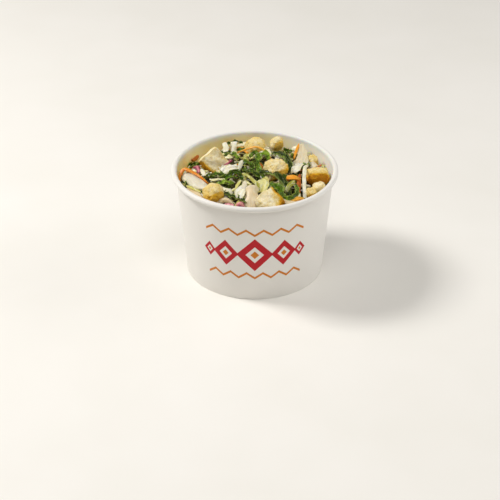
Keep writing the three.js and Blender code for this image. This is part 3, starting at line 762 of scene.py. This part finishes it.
RIBS_ON_TOP = (
    # A pale piece behind the croutons at the right.
    dict(path=((26.5, 22, 0.5), (30.5, 14, 1.8), (33, 8, 0.4)), width=6.5, cup=-1, tone=0.4, jag=0.25),
    # The domed chunk at the front, and its finger.
    dict(path=((-2.6, -18.5, 0.8), (-2.6, -21.5, 3.5), (-2.2, -26, 4), (-1.8, -31, 2), (-1.6, -36, -2)),
         width=11, curl=-78, thickness=1.2, jag=0.04, point=1, blunt=0.42, taper=-0.4, crinkle=0.12,
         face=(-0.15, -0.3, 1), tone=0.55),
    dict(path=((-6.4, -25.5, 2), (-5.6, -21.8, 3.7), (-4.9, -18.4, 4.4)), width=3, point=1,
         blunt=0.45, thickness=1.3, jag=0.1, tone=0.3),
    # The long glassy rib at the left, and the beige piece between it and the rim.
    dict(path=((-38, 2.5, 0.8), (-32.7, -9, 2.4), (-26, -18.4, 0.6)), width=9, curl=-42,
         thickness=1.6, jag=0.08, point=0.6, blunt=0.6, ridged=0.12, tone=0.1),
    dict(path=((-36, -13.5, 0.2), (-31.2, -20.5, 0.8), (-27, -27, 0)), width=4.4, tone=0.75),
    # Pieces along the front rim.
    dict(path=((-19.5, -29.6, -0.4), (-15.6, -29.8, 1.8), (-11.6, -31.8, -0.2)), width=4.6, cup=-0.8,
         tone=0.65, jag=0.3),
    dict(path=((13, -28.5, 0), (17.9, -31.4, 0.9), (23.4, -27.8, 0.2)), width=3, tone=0.6),
    # The tall, glassy wedge at the back right; its beige tone is partly painted warm shade.
    dict(path=((23.4, 5, 0.6), (25.8, 16, 2.4), (26, 29, 5.8)), width=12.5, taper=0.85, point=0.1,
         face=(-0.3, -0.8, 0.7), thickness=0.7, tone=0.45, jag=0.08, ridged=0.2),
)

CABBAGE_ON_TOP = (
    # The leaf that lies in front of the glassy wedge.
    dict(path=((25.6, 10, 0.8), (23.8, 4, 2.6), (21.4, -4, 1.4)), width=6.2, face=(-0.2, -0.5, 0.8),
         tone=0.15, jag=0.35, ridged=0.3),
    # The ridged leaf left of the middle, its spike and a sliver beside it.
    dict(path=((-17.4, -2.6, 0.6), (-13, -0.4, 2.5), (-8.6, 0.8, 2)), width=8.4, ruffle=0.4,
         tone=0.0, jag=0.35, ridged=0.35, point=0.4),
    dict(path=((-9.2, -2.6, 1.2), (-7.7, 1.4, 2.9), (-6.5, 5.3, 4)), width=3.6, point=0.85, tone=0.0,
         face=(0.3, -0.8, 0.5)),
    dict(path=((-18.4, -5, 0), (-16.2, 2, 1.8)), width=2, tone=0.2),
    # Two that stand up at the back left.
    dict(path=((-16.6, 33.2, 4), (-16.2, 30, 1.6), (-15.9, 27.5, -0.4)), width=4.4, point=0.2,
         face=(0, -0.9, 0.6), tone=0.0, jag=0.35),
    dict(path=((-11, 31.4, 3.8), (-11.4, 29, 1.8), (-11.8, 26.5, -0.4)), width=6, point=0.1,
         face=(0.1, -0.9, 0.6), tone=-0.1, jag=0.4, crinkle=0.7),
    # Strips and scraps from the left to the middle.
    dict(path=((-39, -7, 0.4), (-34, -14.8, 1.4), (-28.5, -19.5, 0.6)), width=1.7, tone=0.95,
         crinkle=0.1, jag=0.1),
    dict(path=((-24, -7, 0.2), (-19.1, -10.4, 1.3), (-14, -9, 0.4)), width=2.8, tone=0.5, jag=0.5),
    dict(path=((-28.8, 1.2, 1.8), (-26.8, -3.4, -0.2)), width=2.6, tone=0.1),
    dict(path=((-18, -18.5, 0.4), (-14.7, -21, 1.2), (-11.5, -22, 0)), width=4.2, tone=0.3, jag=0.4),
    dict(path=((-6.4, -6.6, 1.8), (-2.8, -11.4, 2.8), (0.6, -18, 2), (3.2, -23, -0.2)), width=2.4,
         tone=1.1, crinkle=0.25),
    dict(path=((-7.4, -10, 0.2), (-3.8, -14, 1), (-1.4, -18, 0.6)), width=1.4, tone=0.7),
    # The pale green leaf between the two large front pieces.
    dict(path=((2.6, -11, 0.6), (4.6, -15, 1.8), (4.6, -24, 0.2)), width=9.6, taper=0.55, curl=24,
         tone=0.78, jag=0.2, ridged=0.18, ruffle=0.2, point=0.1),
    # The pale underside inside the ruffled kale at the front right.
    dict(path=((16.4, -21.4, 1.6), (18.6, -18.4, 3.2), (21.4, -15.8, 3.4)), width=3.4, tone=1.3,
         curl=-20, jag=0.2),
    dict(path=((6, 31.5, 1.6), (7.4, 21.5, 1.6), (8.6, 15, 0.4)), width=3, tone=0.4, jag=0.3),
    dict(path=((-4.4, 20.5, 0.2), (-1, 13, 1)), width=5.5, ruffle=0.6, tone=0.9, jag=0.45, crinkle=0.8),
    dict(path=((-5.5, 16.5, 0.4), (-4.6, 8.5, 1.2)), width=3.4, tone=1.1, jag=0.45, crinkle=0.8),
    # The narrow strip that stands up at the right.
    dict(path=((27, -2, 5.4), (26.3, -12.5, 3.9), (26.4, -24.5, 0)), width=2.3, face=(0.2, -0.8, 0.6),
         tone=0.1, point=0.1, jag=0.1),
    # The torn leaf round the left of the domed chunk.
    dict(path=((-5.2, -19, 1.6), (-6.6, -22.5, 3.2), (-7.4, -26, 3), (-8.4, -30, 1)), width=8.6, curl=28,
         thickness=0.7, jag=0.4, point=0.3, tone=0.15, ridged=0.2),
)

RED_CABBAGE_ON_TOP = (
    dict(path=((-33.2, 9, 1), (-31.2, 6, 2), (-29.9, 1, 0.4)), width=3.4, cup=-0.6),
    dict(path=((-14.6, 14, 0), (-13.2, 9.4, 1.5), (-16.4, 5.4, 0.4)), width=2.4, tone=1.3),
    dict(path=((-16, -31.5, 0.2), (-11, -34.2, 0.8)), width=3.6),
    dict(path=((-10, -33.6, 0.2), (-7.8, -34.3, 1.9), (-5.4, -35, 0)), width=4.4, cup=-0.8),
)


def leaf_coordinates(add):
    """The piece's own grain: millimetres along and across it, its tone, and how near its rim is."""
    grain = add("Attribute", output="Vector", attribute_name="grain")
    split = [add("SeparateXYZ", (grain,), axis) for axis in "XYZ"]
    return *split, add("Attribute", output="Fac", attribute_name="rim")


def veins(add, along, across, pitch):
    """Fine branching lines, pitch millimetres apart, that run mostly along the piece."""
    drawn = add("CombineXYZ", (add("Math", (along, 0.35), operation="MULTIPLY"), across))
    cells = add("TexVoronoi", {"Vector": drawn, "Scale": 1 / pitch, "Randomness": 0.9},
                feature="DISTANCE_TO_EDGE", voronoi_dimensions="2D")
    return add("Math", (cells, -9, 1), operation="MULTIPLY_ADD", use_clamp=True)


def long_fibres(add, grain, drawn_out, density, detail):
    """Fibres that run along the piece and differ from piece to piece."""
    along, across, tone, _ = grain
    drawn = add("CombineXYZ", (add("Math", (along, drawn_out), operation="MULTIPLY"), across, tone))
    return add("TexNoise", {"Vector": drawn, "Scale": density, "Detail": detail})


def blotched(add, tone, weight, blotch_mm, strength, middle=0.5, detail=2):
    """A piece's tone with blotches over it, blotch_mm wide."""
    place = add("TexCoord", output="Object")
    cloud = add("TexNoise", {"Vector": place, "Scale": 1 / (blotch_mm * MM), "Detail": detail})
    patches = add("Math", (cloud, strength, -middle * strength), operation="MULTIPLY_ADD")
    return add("Math", (tone, weight, patches), operation="MULTIPLY_ADD")


def white_cabbage_leaf(add, slaw):
    """Raw white cabbage leaf: waxy, slightly translucent, wet with dressing."""
    along, across, tone, rim = leaf_coordinates(add)
    lines = veins(add, along, across, 2.3)
    colour = add("ValToRGB", (blotched(add, tone, 0.85, 4, 0.7),), stops=(
        (0.2, slaw.white), (0.5, "#DDD69C"), (0.8, slaw.pale_green), (1.0, "#8E9138")))
    colour = tinted(add, colour, "#F9F6E8", lines, 0.4)
    # Painted shade in the troughs of the leaf's waves and painted light on their crests.
    crest = add("Attribute", output="Fac", attribute_name="crest")
    fold_shade_light = add("ValToRGB", (add("Math", (crest, 0.5), operation="ADD"),), stops=(
        (0.15, "#8F8058"), (0.5, "#D8D0B8"), (0.85, "#FFFFFF")))
    colour = tinted(add, colour, fold_shade_light, 0.5, way="SOFT_LIGHT")
    colour = tinted(add, colour, slaw.pale_green, rim, 0.35, sharpness=5)
    return surface_of(colour, 0.3, 1.38, (0.35, (1.0, 0.9, 0.5), 0.0012),
                      add("Bump", {"Height": lines, "Distance": 0.12 * MM}))


def cabbage_rib(add, slaw):
    """Thick white rib of the cabbage: juicy, glassy and faintly grey-pink."""
    grain = leaf_coordinates(add)
    _, _, tone, rim = grain
    fibres = long_fibres(add, grain, 0.15, 1.6, 3)
    colour = add("ValToRGB", (blotched(add, tone, 1, 3, 0.6),), stops=(
        (0.1, slaw.rib), (0.6, "#DAC6A4"), (1.0, "#CDAE84")))
    streaks = add("ValToRGB", (fibres,), stops=((0.35, "#B8AE86"), (0.65, "#FFFDF6")))
    colour = tinted(add, colour, streaks, 0.35, way="SOFT_LIGHT")
    colour = tinted(add, colour, "#D9D4A0", rim, 0.4, sharpness=4)
    return surface_of(colour, 0.32, 1.38, (0.5, (1.0, 0.85, 0.6), 0.002),
                      add("Bump", {"Height": fibres, "Distance": 0.2 * MM}))


def kale_leaf(add, slaw):
    """Kale: a tough, dark, crinkled leaf with pale veins, glossy with dressing."""
    along, across, tone, rim = leaf_coordinates(add)
    lines = veins(add, along, across, 1.9)
    # The green follows the leaf's own tone and blotches, and also its crests: painted light on the crests,
    # painted shade in the troughs.
    crest = add("Attribute", output="Fac", attribute_name="crest")
    green_and_crest_light = add("Math", (crest, 0.6, blotched(add, tone, 0.75, 2.2, 1.6, middle=0.47, detail=3)),
                operation="MULTIPLY_ADD")
    colour = add("ValToRGB", (green_and_crest_light,), stops=(
        (0.1, slaw.dark_green), (0.5, "#476A06"), (0.95, slaw.fresh_green)))
    colour = tinted(add, colour, "#A5B858", lines, 0.4)
    # Painted highlight: lighter green along the leaf's long edges, where they catch the light.
    colour = tinted(add, colour, "#B2C462", rim, 0.85, sharpness=4)
    return surface_of(colour, 0.17, 1.27, (0.15, (0.7, 1.0, 0.2), 0.0006),
                      add("Bump", {"Height": lines, "Distance": 0.25 * MM}))


def shredded_carrot(add, slaw):
    """Raw carrot off a shredder: bright orange, finely fibrous and moist."""
    grain = leaf_coordinates(add)
    fibres = long_fibres(add, grain, 0.12, 2.2, 4)
    streaks = add("Math", (fibres, 0.5, -0.25), operation="MULTIPLY_ADD")
    depth = add("Math", (grain[2], 0.85, streaks), operation="MULTIPLY_ADD")
    colour = add("ValToRGB", (depth,), stops=(
        (0.0, "#EFB94C"), (0.35, slaw.orange), (0.7, "#D5802C"), (1.0, slaw.deep_orange)))
    return surface_of(colour, 0.3, 1.36, (0.35, (1.0, 0.4, 0.1), 0.0015),
                      add("Bump", {"Height": fibres, "Distance": 0.2 * MM}))


def red_cabbage(add, slaw):
    """Red cabbage: purple skin over pale pink flesh."""
    _, _, tone, rim = leaf_coordinates(add)
    place = add("TexCoord", output="Object")
    cloud = add("TexNoise", {"Vector": place, "Scale": 1 / (1.8 * MM)})
    patches = add("Math", (cloud, 0.9, -0.56), operation="MULTIPLY_ADD")
    skin = add("Math", (tone, 0.4, add("Math", (rim, 0.8, patches), operation="MULTIPLY_ADD")),
               operation="MULTIPLY_ADD")
    colour = add("ValToRGB", (skin,), stops=((0.2, slaw.pink), (0.5, "#BE6C78"), (0.8, slaw.purple)))
    return surface_of(colour, 0.3, 1.38, (0.25, (1.0, 0.5, 0.7), 0.001),
                      add("Bump", {"Height": cloud, "Distance": 0.2 * MM}))


def shade_dark_bed(add, _):
    """Finely chopped slaw deep between the pieces, painted dark as the shade in the gaps."""
    shreds = {"Vector": add("TexCoord", output="Object"), "Scale": 1 / (1.5 * MM)}
    tint = add("SeparateColor", (add("TexVoronoi", shreds, "Color"),), "Red")
    return {
        # Near-black olive and brown: painted shade deep between the pieces.
        "Base Color": add("ValToRGB", (tint,), stops=(
            (0.0, "#1C2009"), (0.45, "#403F15"), (0.75, "#6C6330"), (1.0, "#573310"))),
        "Roughness": 0.4, "IOR": 1.38,
        "Normal": add("Bump", {"Height": add("TexVoronoi", shreds), "Distance": 0.8 * MM}),
    }


# The loose pieces are dropped in rounds, each filled up to a higher level over the bare heap.
ROUNDS = 10
LOWEST_LEVEL, LEVEL_RISE = -1.9, 0.18

# What one round drops: kind, share of the pieces, shortest and longest, narrowest and widest,
# thickness, how stiff they are (0 to 1), how far above the level they may lie, and their shape.
STREWN = (
    ("cabbage_leaves", 0.28, (4, 12), (1.8, 5), 0.5, 0.7, 0,
     dict(jag=0.5, point=0.1, crinkle=0.5, ridged=0.2)),
    ("cabbage_leaves", 0.2, (2, 8), (0.8, 1.8), 0.5, 0.8, 0.3, dict(jag=0.4, crinkle=0.3)),
    ("cabbage_ribs", 0.13, (3, 8), (2.0, 4.5), 1.1, 0.9, 0,
     dict(jag=0.4, cup=-0.4, point=0.1, edge_thin=0.3)),
    ("kale_leaves", 0.24, (4, 11), (2.4, 6), 0.4, 0.5, 0,
     dict(jag=0.4, curl=60, ruffle=0.5, crinkle=0.5)),
    ("kale_leaves", 0.06, (1.5, 4), (1.2, 3), 0.4, 0.8, 0.4, dict(jag=0.4, crinkle=0.4)),
    ("carrot_shreds", 0.06, (5, 14), (1.1, 1.8), 1.0, 0.8, 0, dict(edge_thin=0.1)),
    ("red_cabbage_pieces", 0.035, (3, 7), (1.4, 3), 0.55, 0.8, 0,
     dict(jag=0.4, crinkle=0.3, ridged=0.15)),
)

# Each kind of piece: its surface, slot and grid spacing, and the shape that the pieces on top
# share, unless one has its own.
KINDS = {
    "cabbage_ribs": (cabbage_rib, "white_cabbage", 0.8, dict(thickness=1.5), RIBS_ON_TOP),
    "cabbage_leaves": (white_cabbage_leaf, "white_cabbage", 0.8,
                       dict(thickness=0.55, crinkle=0.5, jag=0.3), CABBAGE_ON_TOP),
    "kale_leaves": (kale_leaf, "kale", 0.55,
                    dict(thickness=0.45, crinkle=0.45, ruffle=0.6, jag=0.35, curl=45), KALE_ON_TOP),
    "carrot_shreds": (shredded_carrot, "carrot", 0.6,
                      dict(thickness=1.3, point=0.6, edge_thin=0.4, jag=0.1), CARROT_ON_TOP),
    "red_cabbage_pieces": (red_cabbage, "red_cabbage", 0.6,
                           dict(thickness=0.65, jag=0.3, crinkle=0.4, ridged=0.2),
                           RED_CABBAGE_ON_TOP),
}


class COLESLAW_OT_slaw(bpy.types.Operator):
    """Fill the cup: a bed, loose chopped pieces, and the large pieces that lie on top"""

    bl_idname = "coleslaw.slaw"
    bl_label = "Chopped Slaw"

    def execute(self, context):
        cup, slaw = context.scene.coleslaw_cup, context.scene.coleslaw_slaw
        heap = Heap(cup, slaw)
        self.make_bed(heap, cup)
        choppers = {name: Chopper(heap, slaw.seed + number, kind[2])
                    for number, (name, kind) in enumerate(KINDS.items())}
        for turn in range(ROUNDS):
            full = LOWEST_LEVEL + LEVEL_RISE * turn
            for name, share, length, width, thickness, stiff, above, shape in STREWN:
                count = int(slaw.fill_count // ROUNDS * share)
                choppers[name].strew(count, length, width, thickness, stiff, full + above, **shape)
        for name, (surface, slot, _, shape, pieces) in KINDS.items():
            chopper = choppers[name]
            for number, piece in enumerate(pieces):
                chopper.random.seed(slaw.seed * 100 + number)
                chopper.lay(**{"may_cross": True, **shape, **piece})
            material = new_material(surface.__name__, surface, slaw)
            finish_piece(chopper.bm, name, material, ["slaw"])
        return {"FINISHED"}

    @staticmethod
    def make_bed(heap, cup):
        """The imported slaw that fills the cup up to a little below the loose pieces."""
        gap, rings = 0.3, 36
        bottom = mm(cup.base_height) + gap
        rim = heap.inner_radius(heap.edge) - gap
        profile = [(0, bottom), (heap.inner_radius(bottom) - gap, bottom)]
        profile += [(rim * (1 - i / rings), heap.crown) for i in range(rings)] + [(0, heap.crown)]
        bm = spun(profile, BASE_ROUND)
        for vert in bm.verts:
            if vert.co.z > bottom + 1:
                x, y, _ = vert.co
                z = heap.height(x, y) - heap.bed_depth + 0.9 * noise.noise(Vector((x, y, 0)) * 0.4)
                reach = math.hypot(x, y)
                if reach > rim - 0.01:
                    vert.co.x *= (heap.inner_radius(z) - gap) / reach
                    vert.co.y *= (heap.inner_radius(z) - gap) / reach
                vert.co.z = z
        material = new_material("shade_dark_bed", shade_dark_bed)
        finish_piece(bm, "slaw_bed", material, ["slaw"])


# ---- Studio ----

LIGHTS = (  # name, place, size in metres, watts, colour
    ("key", (-0.68, 0.15, 0.75), 0.25, 7, (1.0, 0.985, 0.96)),
    ("side", (0.8, 0.1, 0.35), 0.6, 2.6, (1.0, 1.0, 1.0)),
    ("front", (0.05, -0.42, 0.86), 0.5, 2.6, (1.0, 0.99, 0.97)),
)
AIM = Vector((0, 0, 0.04))  # the point in the cup that they look at
AIR = {"Color": (1.0, 0.975, 0.94, 1), "Strength": 0.25}


def pale_floor(add, _):
    """Matt studio paper, nearly white and faintly uneven."""
    mist = add("TexNoise", {"Vector": add("TexCoord", output="Object"), "Scale": 1 / (60 * MM)})
    colour = add("ValToRGB", (mist,), stops=((0.3, "#F3F0EA"), (0.7, "#F0EDE6")))
    return {"Base Color": colour, "Roughness": 0.6}


class COLESLAW_OT_stage(bpy.types.Operator):
    """Set up the pale floor, the soft light and the camera"""

    bl_idname = "coleslaw.stage"
    bl_label = "Stage"

    def execute(self, context):
        studio = context.scene.coleslaw_studio
        self.make_floor()
        for lamp in LIGHTS:
            self.make_light(*lamp)
        world = bpy.data.worlds.new("studio_air")
        world.use_nodes = True
        background = world.node_tree.nodes["Background"]
        connect(world.node_tree, background, AIR)
        context.scene.world = world
        context.scene.view_settings.view_transform = "Standard"

        camera = bpy.data.objects.new("camera", bpy.data.cameras.new("camera"))
        camera.data.lens = studio.lens
        camera.data.sensor_width = 36
        camera.location = (studio.camera_x, studio.camera_y, studio.camera_z)
        camera.rotation_euler = (math.pi / 2 - studio.pitch, 0, 0)
        camera.data.clip_end = 20
        context.scene.collection.objects.link(camera)
        context.scene.camera = camera
        return {"FINISHED"}

    @staticmethod
    def make_floor():
        bm = bmesh.new()
        bmesh.ops.create_grid(bm, x_segments=8, y_segments=8, size=4)
        mesh = bpy.data.meshes.new("floor")
        bm.to_mesh(mesh)
        bm.free()
        mesh.materials.append(new_material("pale_floor", pale_floor))
        floor = bpy.data.objects.new("floor", mesh)
        bpy.context.scene.collection.objects.link(floor)

    @staticmethod
    def make_light(name, place, size, power, colour):
        """A square soft box that points at the food."""
        lamp = bpy.data.lights.new(name, "AREA")
        lamp.size = size
        lamp.energy = power
        lamp.color = colour
        light = bpy.data.objects.new(name, lamp)
        light.location = place
        light.rotation_euler = (AIM - Vector(place)).to_track_quat("-Z", "Y").to_euler()
        bpy.context.scene.collection.objects.link(light)


# ---- Panel and registration ----

class COLESLAW_PT_panel(bpy.types.Panel):
    """Lists the steps that build the cup of coleslaw"""

    bl_idname = "COLESLAW_PT_panel"
    bl_label = "Coleslaw Cup"
    bl_space_type = "VIEW_3D"
    bl_region_type = "UI"
    bl_category = "Coleslaw"

    def draw(self, context):
        for step in STEPS:
            self.layout.operator(step.bl_idname)


STEPS = (COLESLAW_OT_stage, COLESLAW_OT_cup, COLESLAW_OT_slaw, COLESLAW_OT_croutons)
SETTINGS = {
    "coleslaw_cup": CupSettings,
    "coleslaw_slaw": SlawSettings,
    "coleslaw_croutons": CroutonSettings,
    "coleslaw_studio": StudioSettings,
}


def register():
    for settings in SETTINGS.values():
        bpy.utils.register_class(settings)
    for name, settings in SETTINGS.items():
        setattr(bpy.types.Scene, name, PointerProperty(type=settings))
    for step in STEPS:
        bpy.utils.register_class(step)
    bpy.utils.register_class(COLESLAW_PT_panel)


def unregister():
    bpy.utils.unregister_class(COLESLAW_PT_panel)
    for step in reversed(STEPS):
        bpy.utils.unregister_class(step)
    for name in SETTINGS:
        delattr(bpy.types.Scene, name)
    for settings in reversed(SETTINGS.values()):
        bpy.utils.unregister_class(settings)


def main():
    register()
    bpy.ops.coleslaw.stage()
    bpy.ops.coleslaw.cup()
    bpy.ops.coleslaw.slaw()
    bpy.ops.coleslaw.croutons()


if __name__ == "__main__":
    main()
